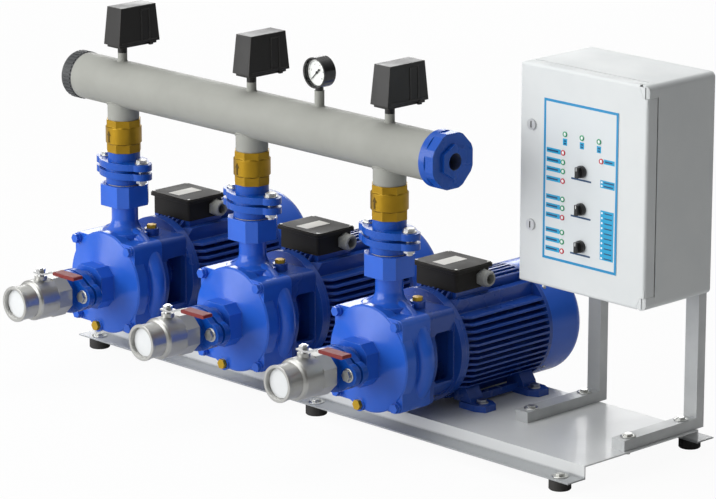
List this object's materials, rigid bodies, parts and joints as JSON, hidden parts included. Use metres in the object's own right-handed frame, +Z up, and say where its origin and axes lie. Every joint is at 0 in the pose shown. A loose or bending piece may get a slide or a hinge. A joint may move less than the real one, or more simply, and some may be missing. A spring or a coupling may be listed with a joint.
{
  "type": "booster pump set",
  "caption": "Water booster set: close-coupled centrifugal pumps on a base plate feed one overhead discharge manifold, with ball and check valves, pressure switches and a control cabinet.",
  "frame": {"origin": "middle of the set's footprint, on the floor under its rubber feet", "axes": "+X along the base plate from the left pump to the control cabinet, +Y from the suction side to the motors' fan ends, +Z up"},
  "size_m": [1.319, 0.6794, 0.701],
  "materials": {
    "base_paint": "satin paint",
    "galvanised": "zinc plated sheet",
    "rubber": "matt",
    "cabinet_paint": "fine textured powder coat",
    "gasket": "matt",
    "gear_plastic": "matt",
    "pipe_paint": "warm grey paint",
    "brass": "cast and turned",
    "switch_black": "fine grained",
    "stop_dark": "knurled",
    "gauge_black": "semi-gloss",
    "dial_white": "white enamel",
    "clear_lens": "clear",
    "blue_cast": "gloss enamel on cast iron",
    "blue_sheet": "gloss enamel on sheet",
    "iron_core": "laminated",
    "terminal_black": "semi-matt",
    "gland_grey": "matt",
    "zinc_steel": "zinc plated",
    "blue_flange": "gloss enamel",
    "nickel_brass": "nickel plated",
    "seat_white": "waxy",
    "plug_grey": "matt",
    "seal_carbon": "lapped",
    "panel_film": "printed film",
    "lamp_lens": "moulded lens",
    "lock_chrome": "polished",
    "knob_black": "semi-gloss",
    "lever_red": "dipped plastic on steel",
    "ball_chrome": "polished",
    "rotor_steel": "ground",
    "disc_black": "matt"
  },
  "bodies": {
    "frame": {"base_plate": "base_paint", "rubber_feet": "rubber", "frame_bolts": "zinc_steel", "cabinet_stands": "galvanised", "cabinet_box": "cabinet_paint", "hinge_blocks": "cabinet_paint", "gear_plate": "galvanised", "switchgear": "gear_plastic", "manifold_pipe": "pipe_paint", "manifold_branches": "pipe_paint", "outlet_cap": "blue_flange", "stop_cap": "stop_dark", "pressure_switches": "zinc_steel", "switch_covers": "switch_black", "gauge_case": "gauge_black", "gauge_dial": "dial_white", "gauge_lens": "clear_lens", "pump_casings": "blue_cast", "motor_brackets": "blue_cast", "motor_frames": "blue_cast", "stators": "iron_core", "fan_cowls": "blue_sheet", "terminal_boxes": "terminal_black", "terminal_lids": "terminal_black", "cable_glands": "gland_grey", "casing_bolts": "zinc_steel", "pipe_plugs": "brass", "motor_bolts": "zinc_steel", "discharge_flanges": "blue_flange", "suction_flanges": "blue_flange", "flange_gaskets": "gasket", "flange_bolts": "zinc_steel", "check_valve_bodies": "brass", "ball_valve_bodies": "nickel_brass", "valve_seats": "seat_white", "port_plugs": "plug_grey", "bearings": "zinc_steel", "shaft_seals": "seal_carbon"},
    "pointer": {"gauge_pointer": "gauge_black"},
    "door": {"cabinet_door": "cabinet_paint", "door_seal": "gasket", "control_panel": "panel_film", "indicator_lamps": "lamp_lens"},
    "upper_lock": {"lock_upper": "lock_chrome"},
    "lower_lock": {"lock_lower": "lock_chrome"},
    "knob_1": {"selector_knob_1": "knob_black"},
    "knob_2": {"selector_knob_2": "knob_black"},
    "knob_3": {"selector_knob_3": "knob_black"},
    "lever_1": {"valve_lever_1": "lever_red", "valve_ball_1": "ball_chrome"},
    "shaft_1": {"rotor_1": "rotor_steel"},
    "disc_1": {"check_disc_1": "disc_black"},
    "lever_2": {"valve_lever_2": "lever_red", "valve_ball_2": "ball_chrome"},
    "shaft_2": {"rotor_2": "rotor_steel"},
    "disc_2": {"check_disc_2": "disc_black"},
    "lever_3": {"valve_lever_3": "lever_red", "valve_ball_3": "ball_chrome"},
    "shaft_3": {"rotor_3": "rotor_steel"},
    "disc_3": {"check_disc_3": "disc_black"}
  },
  "joints": [
    {"name": "door_hinge", "type": "hinge", "parent": "frame", "child": "door", "pos_m": [0.6515, 0.10875, 0.501], "axis": [0, 0, 1], "range_deg": [0, 110]},
    {"name": "upper_lock_turn", "type": "hinge", "parent": "door", "child": "upper_lock", "pos_m": [0.3895, 0.09275, 0.591], "axis": [0, -1, 0], "range_deg": [0, 90]},
    {"name": "lower_lock_turn", "type": "hinge", "parent": "door", "child": "lower_lock", "pos_m": [0.3895, 0.09275, 0.409], "axis": [0, -1, 0], "range_deg": [0, 90]},
    {"name": "gauge_needle", "type": "hinge", "parent": "frame", "child": "pointer", "pos_m": [0.0095, -0.06225, 0.64895], "axis": [0, 1, 0], "range_deg": [0, 270]},
    {"name": "knob_1_turn", "type": "hinge", "parent": "door", "child": "knob_1", "pos_m": [0.5105, 0.09175, 0.526], "axis": [0, -1, 0], "range_deg": [-45, 45]},
    {"name": "knob_2_turn", "type": "hinge", "parent": "door", "child": "knob_2", "pos_m": [0.5105, 0.09175, 0.4585], "axis": [0, -1, 0], "range_deg": [-45, 45]},
    {"name": "knob_3_turn", "type": "hinge", "parent": "door", "child": "knob_3", "pos_m": [0.5105, 0.09175, 0.391], "axis": [0, -1, 0], "range_deg": [-45, 45]},
    {"name": "valve_1_turn", "type": "hinge", "parent": "frame", "child": "lever_1", "pos_m": [-0.5305, -0.27375, 0.16], "axis": [0, 0, 1], "range_deg": [0, 90]},
    {"name": "pump_1_spin", "type": "hinge", "parent": "frame", "child": "shaft_1", "pos_m": [-0.5305, -0.06225, 0.16], "axis": [0, 1, 0], "continuous": true},
    {"name": "check_1_lift", "type": "slide", "parent": "frame", "child": "disc_1", "axis": [0, 0, 1], "range_m": [0, 0.01]},
    {"name": "valve_2_turn", "type": "hinge", "parent": "frame", "child": "lever_2", "pos_m": [-0.1705, -0.27375, 0.16], "axis": [0, 0, 1], "range_deg": [0, 90]},
    {"name": "pump_2_spin", "type": "hinge", "parent": "frame", "child": "shaft_2", "pos_m": [-0.1705, -0.06225, 0.16], "axis": [0, 1, 0], "continuous": true},
    {"name": "check_2_lift", "type": "slide", "parent": "frame", "child": "disc_2", "axis": [0, 0, 1], "range_m": [0, 0.01]},
    {"name": "valve_3_turn", "type": "hinge", "parent": "frame", "child": "lever_3", "pos_m": [0.1895, -0.27375, 0.16], "axis": [0, 0, 1], "range_deg": [0, 90]},
    {"name": "pump_3_spin", "type": "hinge", "parent": "frame", "child": "shaft_3", "pos_m": [0.1895, -0.06225, 0.16], "axis": [0, 1, 0], "continuous": true},
    {"name": "check_3_lift", "type": "slide", "parent": "frame", "child": "disc_3", "axis": [0, 0, 1], "range_m": [0, 0.01]}
  ]
}
